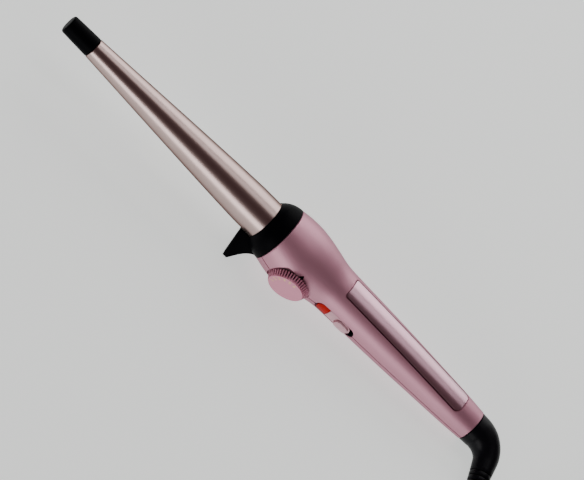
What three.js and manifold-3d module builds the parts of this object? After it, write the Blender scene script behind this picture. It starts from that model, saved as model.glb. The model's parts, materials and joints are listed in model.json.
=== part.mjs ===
// A conical curling wand with a temperature dial, a slide switch and a swivel cord.
// Units are millimetres. The row frame has +Z up and +X along the wand towards its cord.
import * as THREE from 'three';
import { mergeVertices } from 'three/addons/utils/BufferGeometryUtils.js';
import Module from 'manifold-3d';

const wasm = await Module();
wasm.setup();

// ---- driving dimensions -------------------------------------------------------------------
// Stations along the wand ("x") are measured from the tip end, along the wand's own axis.
const GAP = 0.3;                     // clearance between neighbouring solids
const SIDES = 36;                    // facets round a full turn of the casing

const TIP_RADIUS = 5.9;              // heat-proof tip, at its rounded end
const TIP_ROUNDING = 1.4;
const TIP_END = 19.5;                // where the tip meets the barrel
const BARREL_FRONT_RADIUS = 6.4;
const BARREL_RADIUS = 12.6;          // 25 mm barrel at its thick end
const BARREL_CONE_END = 145;
const BARREL_END = 176;
const BARREL_WALL = 0.9;

const COLLAR_FRONT = 158.1;
const HANDLE_FRONT = 169.7;
const HANDLE_END = 325.8;
const COLLAR_RADIUS = 18.6;
const FIN_REACH = 31.2;              // from the axis to the tip of the stand fin
const FIN_THICKNESS = 3.2;
const FIN_ANGLE = 45.7;              // degrees from straight down towards the dial

// Outer radius of the handle at its stations: a waist behind the dial, then a slow taper.
const HANDLE_STATIONS = [
  [HANDLE_FRONT, 18.5], [175.7, 19.3], [182.5, 19.55], [188, 19.25], [193.9, 18.45], [198.4, 17.6],
  [203, 16.65], [207.5, 15.65], [212.3, 14.95], [219, 14.6], [233.6, 14.2], [250.7, 13.75],
  [267.7, 13.15], [284.8, 12.4], [301.8, 11.65], [314, 11.0], [HANDLE_END, 10.1],
];
const SHELL_WALL = 2.4;
const SWELL_STATION = 184;           // the casing swells a little in front of the dial
const SWELL_HEIGHT = 1.8;
const SWELL_LENGTH = 10;

const DIAL_STATION = 191.5;
const DIAL_RADIUS = 12.9;            // at its base; it narrows towards its face
const DIAL_RIM_RADIUS = 11.4;
const DIAL_FACE_RADIUS = 10.9;
const DIAL_FACE = 22.3;              // distance of the dial's face from the axis
const DIAL_BASE = 17.8;
const DIAL_LEAN = 5.5;               // degrees, following the taper of the casing
const SHAFT_RADIUS = 2.9;
const POCKET_FLOOR = 17.4;           // distance of the dial's pocket floor from the axis
const POCKET_FLOOR_THICKNESS = 1.8;

const SLOT_FRONT = 210.5;
const SLOT_END = 239.2;
const SLOT_WIDTH = 8.6;
const LENS_END = 219.3;
const BUTTON_END = 237;

const PANEL_FRONT = 218.5;
const PANEL_END = 312.3;
const PANEL_WIDTH = 13;
const PANEL_DEPTH = 1.2;
const PANEL_TURN = 5;                 // degrees, away from the dial
const SCREW_STATIONS = [228, 259, 290];
const SCREW_Y = 3.5;                 // the bosses stand beside the circuit board

const BOARD_FACE = 3.6;              // distance of the board's dial side from the axis
const BOARD_THICKNESS = 1.6;

const SEAT_RADIUS = 15;
const SEAT_END = 177.8;
const HEATER = { front: 52, end: 150, ptcFront: 74, ptcEnd: 138, ptcWidth: 13, ptcHeight: 4.2 };
const NECK_RADIUS = 5;               // the swivel's neck, which carries the boot

const CORD_RADIUS = 3.15;
const BOOT_BEND = 74;                // degrees that the cord boot turns towards the dial side
const BOOT_BEND_RADIUS = 15;
const BOOT_STRAIGHT = 5;
const BOOT_LENGTH = 70;
const BOOT_DROOP = 3;                // how far the boot's free end hangs below the bend

// The folded cord and the plug, in the row frame, behind the wand's cord end.
const HANK = { x: 256, y: -62, run: 57, column: 25.2, waist: 6, height: 19.2 };
const TIE_WIDTH = 14;
const PLUG = {
  face: 224, y: -15.4, height: 13.7, width: 35.3, length: 54, pinRadius: 2, pinLength: 19, pinSpacing: 18.6,
};

// The wand lies on its casing and on the stand fin, nose up.
const LEAN = THREE.MathUtils.degToRad(3.75);
const TIP_X = -165.55;               // places the origin at the middle of the wand's floor area
const TIP_Y = 1.95;

// ---- solids -------------------------------------------------------------------------------
// A closed geometry as a manifold solid, with its faces turned outwards.
function solidOf(geometry) {
  const bare = geometry.clone();
  bare.deleteAttribute('normal');
  bare.deleteAttribute('uv');
  const merged = mergeVertices(bare, 1e-4);
  const vertProperties = new Float32Array(merged.attributes.position.array);
  const corner = (i) => new THREE.Vector3().fromArray(vertProperties, 3 * i);
  const index = merged.index.array;
  const faces = [];
  let volume = 0;
  for (let i = 0; i < index.length; i += 3) {
    const [a, b, c] = [index[i], index[i + 1], index[i + 2]];
    if (a === b || b === c || c === a) continue;
    faces.push(a, b, c);
    volume += corner(a).dot(corner(b).cross(corner(c)));
  }
  if (volume < 0) {
    for (let i = 0; i < faces.length; i += 3) {
      [faces[i + 1], faces[i + 2]] = [faces[i + 2], faces[i + 1]];
    }
  }
  const triVerts = new Uint32Array(faces);
  return new wasm.Manifold(new wasm.Mesh({ numProp: 3, vertProperties, triVerts }));
}

function geometryOf(solid) {
  const mesh = solid.getMesh();
  const geometry = new THREE.BufferGeometry();
  geometry.setAttribute('position', new THREE.BufferAttribute(mesh.vertProperties.slice(), 3));
  geometry.setIndex(new THREE.BufferAttribute(mesh.triVerts.slice(), 1));
  geometry.computeVertexNormals();
  return geometry;
}

// A solid of revolution about the wand's axis, from a list of [station, radius].
function turned(profile, sides = SIDES) {
  const points = profile.map(([x, r]) => new THREE.Vector2(r, x));
  return solidOf(new THREE.LatheGeometry(points, sides).rotateZ(-Math.PI / 2));
}

// A turned ring or tube: its profile is closed on itself.
function turnedRing(profile, sides = SIDES) {
  return turned([...profile, profile[0]], sides);
}

function block(x0, x1, y0, y1, z0, z1) {
  const box = new THREE.BoxGeometry(x1 - x0, y1 - y0, z1 - z0);
  return solidOf(box.translate((x0 + x1) / 2, (y0 + y1) / 2, (z0 + z1) / 2));
}

// A round bar along Z, between two heights.
function pillar(x, y, z0, z1, radius, sides = 16) {
  const bar = new THREE.CylinderGeometry(radius, radius, z1 - z0, sides).rotateX(Math.PI / 2);
  return solidOf(bar.translate(x, y, (z0 + z1) / 2));
}

// A flat shape with rounded corners, from its front to its end, extruded straight through.
function roundedShape(front, end, width, frontRounding, endRounding) {
  const half = width / 2;
  const shape = new THREE.Shape();
  shape.moveTo(front + frontRounding, -half);
  shape.lineTo(end - endRounding, -half);
  shape.absarc(end - endRounding, -half + endRounding, endRounding, -Math.PI / 2, 0);
  shape.absarc(end - endRounding, half - endRounding, endRounding, 0, Math.PI / 2);
  shape.lineTo(front + frontRounding, half);
  shape.absarc(front + frontRounding, half - frontRounding, frontRounding, Math.PI / 2, Math.PI);
  shape.absarc(front + frontRounding, -half + frontRounding, frontRounding, Math.PI, 1.5 * Math.PI);
  return shape;
}

// The shape cut or kept from above (along Z), between two heights.
function fromAbove(shape, z0, z1) {
  const options = { depth: z1 - z0, bevelEnabled: false, curveSegments: 2 };
  return solidOf(new THREE.ExtrudeGeometry(shape, options).translate(0, 0, z0));
}

// The shape cut or kept from the dial side (along -Y), between two distances from the axis.
function fromDialSide(shape, near, far) {
  const options = { depth: far - near, bevelEnabled: false, curveSegments: 3 };
  const prism = new THREE.ExtrudeGeometry(shape, options).rotateX(Math.PI / 2);
  return solidOf(prism.translate(0, -near, 0));
}

function wire(points, radius, steps, sides = 6) {
  const curve = new THREE.CatmullRomCurve3(points.map((p) => new THREE.Vector3(...p)));
  const section = new THREE.Shape().absarc(0, 0, radius, 0, 2 * Math.PI);
  const options = { steps, extrudePath: curve, curveSegments: sides / 2 };
  return new THREE.ExtrudeGeometry(section, options);
}

// ---- materials ----------------------------------------------------------------------------
const material = (color, roughness, metalness = 0) =>
  new THREE.MeshStandardMaterial({ color, roughness, metalness });
const BLACK_PLASTIC = material(0x0d0d10, 0.35);
const PINK_CASING = material(0xc793a3, 0.3, 0.5);
const PANEL_FINISH = material(0xb98597, 0.15, 0.8);
const BARREL_COATING = material(0xb9948a, 0.25, 0.9);
const ALUMINIUM = material(0xb8bcc0, 0.4, 0.9);
const STEEL = material(0x9a9ca0, 0.3, 0.9);
const BRASS = material(0xc8a050, 0.3, 0.9);
const HEAT_PLASTIC = material(0xd8cfb8, 0.6);
const RED_LENS = material(0xc0201c, 0.15);
const DIAL_PINK = material(0xcf98a8, 0.45, 0.2);
const BUTTON_PINK = material(0xd9aeb9, 0.4, 0.2);
const BOARD_GREEN = material(0x2c5a3a, 0.6);
const DARK_PART = material(0x26262a, 0.5);
const RED_WIRE = material(0xa83028, 0.5);
const WHITE_WIRE = material(0xd8d8d4, 0.5);
const BLACK_RUBBER = material(0x101012, 0.55);

const wand = new THREE.Group();
wand.rotation.y = LEAN;

function part(name, shape, finish, group = wand) {
  const geometry = shape instanceof wasm.Manifold ? geometryOf(shape) : shape;
  const mesh = new THREE.Mesh(geometry, finish);
  mesh.name = name;
  group.add(mesh);
  return mesh;
}

// ---- the casing's outline ---------------------------------------------------------------------
const handleCurve = new THREE.SplineCurve(HANDLE_STATIONS.map(([x, r]) => new THREE.Vector2(x, r)));

// The handle's outline as [station, radius], moved in or out by an offset.
const handleProfile = (offset, rows = 20) =>
  handleCurve.getPoints(rows).map((p) => [p.x, p.y + offset]);

// The handle's full round body out to its skin, swollen on the dial side in front of the dial.
function handleBody(offset) {
  const profile = [[HANDLE_FRONT, 0], ...handleProfile(offset), [HANDLE_END, 0]];
  const points = profile.map(([x, r]) => new THREE.Vector2(r, x));
  const geometry = new THREE.LatheGeometry(points, SIDES).rotateZ(-Math.PI / 2);
  const position = geometry.attributes.position;
  for (let i = 0; i < position.count; i += 1) {
    const [x, y, z] = [position.getX(i), position.getY(i), position.getZ(i)];
    const radius = Math.hypot(y, z);
    if (radius < 1) continue;
    const towardsDial = Math.max(0, -y / radius) ** 2;
    const nearDial = Math.exp(-(((x - SWELL_STATION) / SWELL_LENGTH) ** 2));
    const scale = 1 + (SWELL_HEIGHT * towardsDial * nearDial) / radius;
    position.setXYZ(i, x, y * scale, z * scale);
  }
  return solidOf(geometry);
}

// The dial's axis leans towards the cord end, so its foot on the wand's axis lies nearer the tip.
const dialFoot = DIAL_STATION - DIAL_FACE * Math.tan(THREE.MathUtils.degToRad(DIAL_LEAN));

// Moves a solid from the dial's own frame (its axis along Y) to its place on the casing.
function atDial(solid) {
  return solid.rotate([0, 0, DIAL_LEAN]).translate([dialFoot, 0, 0]);
}

// A disc or drum about the dial's axis, between two distances from the wand's axis.
function dialDrum(radius, near, far, sides = 32, farRadius = radius) {
  const drum = new THREE.CylinderGeometry(radius, farRadius, far - near, sides);
  return atDial(solidOf(drum.translate(0, -(near + far) / 2, 0)));
}

// ---- tip and barrel ---------------------------------------------------------------------------
{
  const spigot = BARREL_FRONT_RADIUS - BARREL_WALL - GAP;
  const rounding = new THREE.EllipseCurve(
    TIP_ROUNDING, TIP_RADIUS - TIP_ROUNDING, TIP_ROUNDING, TIP_ROUNDING, Math.PI, Math.PI / 2, true);
  const corner = rounding.getPoints(4).map((p) => [p.x, p.y]);
  const profile = [[0, 0], ...corner, [TIP_END, BARREL_FRONT_RADIUS - 0.05], [TIP_END, spigot],
    [TIP_END + 8, spigot], [TIP_END + 8, 0]];
  part('cool_tip', turned(profile, 24), BLACK_PLASTIC);
}

// Outer radius of the barrel: a cone that runs out into a short parallel stretch.
const barrelCone = new THREE.CubicBezierCurve(
  new THREE.Vector2(TIP_END + GAP, BARREL_FRONT_RADIUS),
  new THREE.Vector2(90, 10.15),
  new THREE.Vector2(123, 11.95),
  new THREE.Vector2(BARREL_CONE_END, BARREL_RADIUS),
);
const barrelProfile = barrelCone.getPoints(6).map((p) => [p.x, p.y]);
const barrelInside = (x) => {
  const above = barrelProfile.findIndex(([station]) => station >= x);
  if (above <= 0) return BARREL_RADIUS - BARREL_WALL;
  const [[x0, r0], [x1, r1]] = [barrelProfile[above - 1], barrelProfile[above]];
  return r0 + ((r1 - r0) * (x - x0)) / (x1 - x0) - BARREL_WALL;
};
const BARREL_SCREW_STATION = BARREL_END - 1.9;
const screwHoles = pillar(BARREL_SCREW_STATION, 0, -20, 20, 1.0 + GAP);
{
  const inner = barrelProfile.map(([x, r]) => [x, r - BARREL_WALL]).reverse();
  const tube = turnedRing([...barrelProfile, [BARREL_END, BARREL_RADIUS],
    [BARREL_END, BARREL_RADIUS - BARREL_WALL], ...inner]);
  part('barrel', tube.subtract(screwHoles), BARREL_COATING);
}

// ---- heater inside the barrel -----------------------------------------------------------------
{
  const clearance = 0.4;
  const core = turned([[HEATER.front, 0], [HEATER.front, barrelInside(HEATER.front) - clearance],
    [96, barrelInside(96) - clearance], [HEATER.end, barrelInside(HEATER.end) - clearance],
    [HEATER.end, 0]], 24);
  const seat = HEATER.ptcHeight / 2 + GAP;
  part('heater_core_upper', core.intersect(block(0, 200, -30, 30, seat, 30)), ALUMINIUM);
  part('heater_core_lower', core.intersect(block(0, 200, -30, 30, -30, -seat)), ALUMINIUM);
  const half = HEATER.ptcHeight / 2;
  part('ptc_heater', block(HEATER.ptcFront, HEATER.ptcEnd, -HEATER.ptcWidth / 2, HEATER.ptcWidth / 2,
    -half, half), DARK_PART);
  const probe = new THREE.CylinderGeometry(1.2, 1.2, 8, 12).rotateZ(Math.PI / 2);
  part('thermistor', probe.translate(144, 6, 0), STEEL);
  const cutout = new THREE.CylinderGeometry(1.9, 1.9, 11, 12).rotateZ(Math.PI / 2);
  part('thermal_fuse', cutout.translate(157, -6, 0), STEEL);
}

// ---- barrel seat, collar and stand fin ----------------------------------------------------------
{
  const bore = BARREL_RADIUS + GAP;
  const dialRoom = dialDrum(DIAL_RADIUS + 1, POCKET_FLOOR - POCKET_FLOOR_THICKNESS - GAP, 20);
  const seat = turnedRing([[164, bore], [164, SEAT_RADIUS], [SEAT_END, SEAT_RADIUS], [SEAT_END, 9.5],
    [BARREL_END + GAP, 9.5], [BARREL_END + GAP, bore]]);
  part('barrel_seat', seat.subtract(screwHoles).subtract(dialRoom), HEAT_PLASTIC);
  for (const [name, side] of [['barrel_screw_upper', 1], ['barrel_screw_lower', -1]]) {
    const shank = pillar(BARREL_SCREW_STATION, 0, 10.8, SEAT_RADIUS + 0.4, 1.0, 10);
    const head = pillar(BARREL_SCREW_STATION, 0, SEAT_RADIUS + GAP, SEAT_RADIUS + 1.5, 1.9, 12);
    part(name, shank.add(head).scale([1, 1, side]), STEEL);
  }
}
{
  const shoulder = new THREE.QuadraticBezierCurve(
    new THREE.Vector2(COLLAR_FRONT, BARREL_RADIUS + 0.5),
    new THREE.Vector2(162.5, 18.2),
    new THREE.Vector2(HANDLE_FRONT - GAP, COLLAR_RADIUS),
  ).getPoints(5).map((p) => [p.x, p.y]);
  const rear = HANDLE_FRONT - GAP;
  const ring = turnedRing([[COLLAR_FRONT, BARREL_RADIUS + GAP], ...shoulder, [rear, 16.5],
    [rear + 2.4, 16.5], [rear + 2.4, SEAT_RADIUS + GAP], [163.6, SEAT_RADIUS + GAP],
    [163.6, BARREL_RADIUS + GAP]]);
  const outline = new THREE.Shape();
  outline.moveTo(152.5, BARREL_RADIUS + 0.4);
  outline.lineTo(156.4, FIN_REACH);
  outline.lineTo(158.4, FIN_REACH);
  outline.bezierCurveTo(161.5, 26.3, 163.8, 21.5, 168.6, 18);
  outline.lineTo(166, 14.5);
  outline.lineTo(160, BARREL_RADIUS + 0.4);
  const options = { depth: FIN_THICKNESS, bevelEnabled: false, curveSegments: 6 };
  const plate = new THREE.ExtrudeGeometry(outline, options).translate(0, 0, -FIN_THICKNESS / 2);
  const turn = THREE.MathUtils.degToRad(-90 - FIN_ANGLE);
  const fin = solidOf(plate.rotateX(turn));
  const space = (front, radius) => turned([[front, 0], [front, radius], [180, radius], [180, 0]]);
  const seatSpace = space(163.6, SEAT_RADIUS + GAP);
  const barrelSpace = space(140, BARREL_RADIUS + GAP);
  const uncut = ring.add(fin.subtract(barrelSpace).subtract(seatSpace));
  // The fin's foot is cut off level with the floor that the wand lies on.
  const floor = new THREE.BoxGeometry(600, 200, 40).rotateY(-LEAN);
  const down = new THREE.Vector3(0, 0, -20 - restHeight());
  down.applyAxisAngle(new THREE.Vector3(0, 1, 0), -LEAN);
  part('collar', uncut.subtract(solidOf(floor.translate(down.x, down.y, down.z))), BLACK_PLASTIC);
}

// Height of the tip's centre above the floor when the casing rests on it.
function restHeight() {
  return Math.max(...handleProfile(0).map(([x, r]) => x * Math.sin(LEAN) + r * Math.cos(LEAN)));
}

// ---- handle shells and what closes them ---------------------------------------------------------
const skin = handleBody(0);
{
  const inside = handleProfile(-SHELL_WALL, 9);
  const frontBore = 16.5 + GAP;
  const hollow = turned([[HANDLE_FRONT - 5, 0], [HANDLE_FRONT - 5, frontBore], [HANDLE_FRONT + 6, frontBore],
    ...inside.filter(([x]) => x > HANDLE_FRONT + 8), [HANDLE_END + 5, 7.7], [HANDLE_END + 5, 0]]);
  const floorBack = POCKET_FLOOR - POCKET_FLOOR_THICKNESS;
  const dialFloor = dialDrum(DIAL_RADIUS + 0.7, floorBack, POCKET_FLOOR).intersect(skin);
  const pocket = dialDrum(DIAL_RADIUS + 0.4, POCKET_FLOOR, 30);
  const shaftHole = dialDrum(SHAFT_RADIUS + 0.6, 10, 20, 16);
  const slot = fromDialSide(
    roundedShape(SLOT_FRONT, SLOT_END, SLOT_WIDTH, SLOT_WIDTH / 2 - 0.01, SLOT_WIDTH / 2 - 0.01), 8, 30);
  const casing = skin.subtract(hollow).add(dialFloor).subtract(pocket).subtract(shaftHole).subtract(slot);
  let upper = casing.intersect(block(100, 400, -40, 40, GAP / 2, 40));
  let lower = casing.intersect(block(100, 400, -40, 40, -40, -GAP / 2));
  const recess = fromAbove(roundedShape(PANEL_FRONT - GAP, PANEL_END + GAP, PANEL_WIDTH + 2 * GAP, 1.8, 3.3),
    4, 30).rotate([-PANEL_TURN, 0, 0]);
  upper = upper.subtract(recess.subtract(handleBody(-PANEL_DEPTH - 0.15)));
  const room = handleBody(-SHELL_WALL + 0.8);
  for (const station of SCREW_STATIONS) {
    upper = upper.add(pillar(station, SCREW_Y, GAP, 12, 4.0).intersect(room));
    lower = lower.add(pillar(station, SCREW_Y, -12, -GAP, 3.2).intersect(room));
  }
  for (const station of SCREW_STATIONS) {
    upper = upper.subtract(pillar(station, SCREW_Y, 3.5, 20, 3.0));
    upper = upper.subtract(pillar(station, SCREW_Y, -1, 6, 1.0 + GAP, 12));
    lower = lower.subtract(pillar(station, SCREW_Y, -7.5, 1, 1.0 + GAP, 12));
  }
  part('upper_shell', upper, PINK_CASING);
  part('lower_shell', lower, PINK_CASING);
  SCREW_STATIONS.forEach((station, i) => {
    const shank = pillar(station, SCREW_Y, -6.8, 4, 1.0, 10);
    part(`shell_screw_${i + 1}`, shank.add(pillar(station, SCREW_Y, 3.8, 5.8, 2.6, 14)), STEEL);
  });
  const plate = fromAbove(roundedShape(PANEL_FRONT, PANEL_END, PANEL_WIDTH, 1.5, 3), 4, 30).rotate(
    [-PANEL_TURN, 0, 0]);
  const bent = plate.intersect(handleBody(-0.05)).subtract(handleBody(-PANEL_DEPTH));
  part('inlay_panel', bent, PANEL_FINISH);
}

// ---- temperature dial and its potentiometer -----------------------------------------------------
{
  const rimStep = 0.6;
  const dial = dialDrum(DIAL_RADIUS, DIAL_BASE, DIAL_FACE - rimStep, 32, DIAL_RIM_RADIUS).add(
    dialDrum(DIAL_FACE_RADIUS, DIAL_FACE - 2 * rimStep, DIAL_FACE));
  part('temperature_dial', dial.subtract(dialDrum(SHAFT_RADIUS + GAP, DIAL_BASE - 1, 20.9, 16)), DIAL_PINK);
  part('potentiometer_shaft', dialDrum(SHAFT_RADIUS, 7, 20.6, 16), STEEL);
  const body = dialDrum(8, BOARD_FACE + 1.4, 10.2, 20).add(dialDrum(SHAFT_RADIUS + 1, 10, 13, 16));
  part('potentiometer', body.subtract(dialDrum(SHAFT_RADIUS + GAP, 6.7, 14, 16)), DARK_PART);
}

// ---- slide switch, lens and lamp ----------------------------------------------------------------
{
  const trim = handleBody(-0.1);
  const half = SLOT_WIDTH / 2 - GAP;
  const lens = fromDialSide(roundedShape(SLOT_FRONT + GAP, LENS_END, 2 * half, half - 0.01, 0.3), 10.3, 20);
  part('indicator_lens', lens.intersect(trim), RED_LENS);
  const cap = fromDialSide(roundedShape(LENS_END + GAP, BUTTON_END, 2 * half, 0.3, half - 0.01), 10.3, 20);
  const pad = fromDialSide(roundedShape(226, 235.6, 2 * half - 1.2, 2.4, 2.4), 10.3, 20);
  const stem = block(226, 231, -11, -8.7, -1.3, 1.3);
  const button = cap.intersect(trim).add(pad.intersect(handleBody(0.9))).add(stem);
  part('switch_button', button, BUTTON_PINK);
  part('switch_lever', block(227, 230, -8.4, -6, -1, 1), DARK_PART);
  const tray = fromDialSide(roundedShape(SLOT_FRONT - 1.9, SLOT_END + 1.4, SLOT_WIDTH + 2.2, 2, 2), 9, 10);
  const stemSlot = block(224.5, 235, -11, -8, -1.7, 1.7);
  const lampHole = block(212.6, 217.4, -11, -8, -2.2, 2.2);
  part('switch_tray', tray.subtract(stemSlot).subtract(lampHole), BLACK_PLASTIC);
  const housing = block(220, 238, -8, -BOARD_FACE - GAP, -4, 4);
  part('slide_switch', housing.subtract(block(224.5, 235, -9, -5.6, -1.4, 1.4)), DARK_PART);
  const lamp = new THREE.CylinderGeometry(1.6, 1.6, 4.4, 12);
  part('indicator_lamp', lamp.translate(215, -BOARD_FACE - GAP - 2.2, 0), RED_LENS);
}

// ---- circuit board and its components -----------------------------------------------------------
{
  const back = BOARD_FACE - BOARD_THICKNESS;
  const onDialSide = (x0, x1, height, z0, z1) =>
    block(x0, x1, -BOARD_FACE - GAP - height, -BOARD_FACE - GAP, z0, z1);
  part('circuit_board', block(184.5, 262, -BOARD_FACE, -back, -8.2, 8.2), BOARD_GREEN);
  part('film_capacitor', onDialSide(200.4, 207.6, 5, -7, 7), RED_WIRE);
  part('triac', onDialSide(244, 259, 4.5, -5, 5), DARK_PART);
  part('control_chip', block(210, 218, -back + GAP, -back + GAP + 1.8, -2.6, 2.6), DARK_PART);
  const resistor = new THREE.CylinderGeometry(1.5, 1.5, 9, 12).rotateZ(Math.PI / 2);
  part('fuse_resistor', resistor.translate(247, -back + GAP + 1.5, 4.5), WHITE_WIRE);
}

// ---- wires inside the casing --------------------------------------------------------------------
{
  for (const [name, side] of [['heater_lead_a', 1], ['heater_lead_b', -1]]) {
    const route = [[138.4, side * 2.5, 0], [152, side * 2.6, side * 0.6], [166, 2, side * 2.4],
      [184, 2, side * 3], [200, 1.4, side * 4], [206, -0.8, side * 4.6]];
    part(name, wire(route, 0.8, 16), RED_WIRE);
  }
  const probeLead = [[148.3, 6, 0], [160, 6, 0], [176, 6, 0], [190, 5, -6], [200, 0.4, -6.4]];
  part('sensor_lead', wire(probeLead, 0.7, 14), WHITE_WIRE);
  const mains = [['mains_wire_line', 1, DARK_PART], ['mains_wire_neutral', -1, WHITE_WIRE]];
  for (const [name, side, finish] of mains) {
    const route = [[262.4, -3, side * 4], [275, -4.4, side * 4.4], [288, -4.6, side * 4],
      [298.4, -3.6, side * 5.6]];
    part(name, wire(route, 1.0, 10), finish);
  }
}

// ---- swivel in the handle's end -----------------------------------------------------------------
// The rotor turns in the socket ring; two spring brushes press on its contact rings.
{
  const end = HANDLE_END;
  part('swivel_socket', turnedRing([[313, NECK_RADIUS + 0.4], [313, 7.9], [end - 1, 7.4],
    [end - 1, NECK_RADIUS + 0.4]], 32), BLACK_PLASTIC);
  const rotor = turned([[297, 0], [297, 3.4], [309.4, 3.4], [309.4, 7], [312.6, 7], [312.6, NECK_RADIUS],
    [end + 6, NECK_RADIUS], [end + 6, 0]], 32);
  part('swivel_rotor', rotor, HEAT_PLASTIC);
  part('contact_ring_line', turnedRing([[299, 3.7], [299, 4.6], [302, 4.6], [302, 3.7]], 24), BRASS);
  part('contact_ring_neutral', turnedRing([[305, 3.7], [305, 4.6], [308, 4.6], [308, 3.7]], 24), BRASS);
  part('brush_line', block(298.8, 302.2, -2, 2, 5, 6.4), BRASS);
  part('brush_neutral', block(304.8, 308.2, -2, 2, -6.4, -5), BRASS);
}

// ---- cord boot ----------------------------------------------------------------------------------
// The boot's middle line in the wand's frame: straight, a round bend to the dial side, straight.
function bootPoint(distance) {
  const bend = THREE.MathUtils.degToRad(BOOT_BEND);
  const start = HANDLE_END + GAP + BOOT_STRAIGHT;
  const along = distance - BOOT_STRAIGHT;
  if (along < 0) return new THREE.Vector3(start + along, 0, 0);
  const turn = Math.min(along / BOOT_BEND_RADIUS, bend);
  const point = new THREE.Vector3(
    start + BOOT_BEND_RADIUS * Math.sin(turn), -BOOT_BEND_RADIUS * (1 - Math.cos(turn)), 0);
  const rest = along - BOOT_BEND_RADIUS * bend;
  if (rest > 0) {
    const whole = BOOT_LENGTH - BOOT_STRAIGHT - BOOT_BEND_RADIUS * bend;
    point.x += rest * Math.cos(bend);
    point.y -= rest * Math.sin(bend);
    point.z -= BOOT_DROOP * (rest / whole) ** 2;
  }
  return point;
}

const bootCurve = new THREE.SplineCurve([[0, 9.9], [5, 9.75], [11, 9.2], [17, 8.3], [24, 7.3], [31, 6.6],
  [38, 6.1], [48, 5.4], [59, 4.75], [BOOT_LENGTH, 4.2]].map(([d, r]) => new THREE.Vector2(r, d)));
{
  const profile = [new THREE.Vector2(0, 6.5), new THREE.Vector2(NECK_RADIUS + GAP, 6.5),
    new THREE.Vector2(NECK_RADIUS + GAP, 0), ...bootCurve.getPoints(16), new THREE.Vector2(0, BOOT_LENGTH)];
  const geometry = new THREE.LatheGeometry(profile, 20);
  const position = geometry.attributes.position;
  for (let i = 0; i < position.count; i += 1) {
    const distance = position.getY(i);
    const centre = bootPoint(distance);
    const heading = bootPoint(distance + 0.1).sub(bootPoint(distance - 0.1)).normalize();
    const side = new THREE.Vector3(0, 0, 1).cross(heading).normalize();
    const up = heading.clone().cross(side);
    centre.addScaledVector(side, position.getX(i)).addScaledVector(up, position.getZ(i));
    position.setXYZ(i, centre.x, centre.y, centre.z);
  }
  part('cord_boot', solidOf(geometry), BLACK_RUBBER);
}

wand.position.set(TIP_X, TIP_Y, restHeight());

const assembly = new THREE.Group();
assembly.add(wand);

// ---- the free cord, in the row frame ------------------------------------------------------------
// It leaves the boot, comes down to the floor, and is folded into a tied hank behind the wand.
{
  const floor = CORD_RADIUS + 0.05;
  const leadRoute = [[191.5, -53.8, 4.9], [193.2, -60.4, 4.1], [195.6, -68, 3.5], [198.6, -75.8, floor],
    [203.2, -83.2, floor], [209.6, -89.2, floor], [217.8, -93.1, floor], [227.5, -94, floor],
    [241, -94.2, floor], [256, -94.2, floor], [270, -94.2, floor], [284, -94, floor]];
  part('cord_lead', wire(leadRoute, CORD_RADIUS, 26, 8), BLACK_RUBBER, assembly);

  // Half the outline of the hank, with its sides drawn in at the waist where the tie is.
  const half = HANK.column + CORD_RADIUS;
  const rows = 10;
  const side = [];
  for (let i = 0; i <= rows; i += 1) {
    const x = -HANK.run / 2 + (HANK.run * i) / rows;
    const drawnIn = HANK.waist * 0.5 * (1 + Math.cos((2 * Math.PI * x) / HANK.run));
    side.push(new THREE.Vector2(x, drawnIn - half));
  }
  const outline = new THREE.Shape();
  outline.moveTo(side[0].x, side[0].y);
  side.slice(1).forEach((p) => outline.lineTo(p.x, p.y));
  outline.absarc(HANK.run / 2, 0, half, -Math.PI / 2, Math.PI / 2);
  side.slice(0, -1).reverse().forEach((p) => outline.lineTo(p.x, -p.y));
  outline.absarc(-HANK.run / 2, 0, half, Math.PI / 2, 1.5 * Math.PI);
  const options = { depth: HANK.height, bevelEnabled: false, curveSegments: 10 };
  const hank = new THREE.ExtrudeGeometry(outline, options);
  part('cord_hank', solidOf(hank), BLACK_RUBBER, assembly).position.set(HANK.x, HANK.y, 0);

  // The tie goes once round the waist.
  const band = (grow, low, high) => {
    const reach = half - HANK.waist + 1 + grow;
    const [front, end] = [HANK.x - TIE_WIDTH / 2, HANK.x + TIE_WIDTH / 2];
    return block(front, end, HANK.y - reach, HANK.y + reach, low, high);
  };
  const tie = band(2.2, 0, HANK.height + 1.8).subtract(band(0.6, -1, HANK.height + GAP));
  part('cord_tie', tie, BLACK_RUBBER, assembly);

  // The last turn lies on the first stretch, then opens out round the hank and comes down to the plug.
  const onLead = 3 * CORD_RADIUS + 0.4;
  const tailRoute = [[228, -94.2, onLead], [242, -94.2, onLead], [256, -94.2, onLead], [270, -94.2, onLead],
    [284.5, -94.2, onLead], [296, -92.4, 9.7], [306.6, -87, 9.4], [315, -78.4, 9], [320, -67.6, 8.5],
    [320.9, -55.6, 8], [318, -43.4, 7.6], [312, -32.6, 7.2], [303, -23.8, 7], [293.4, -18, 6.9],
    [284.6, -15.7, PLUG.height / 2], [278.4, -15.4, PLUG.height / 2]];
  part('cord_tail', wire(tailRoute, CORD_RADIUS, 34, 8), BLACK_RUBBER, assembly);
}

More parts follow.
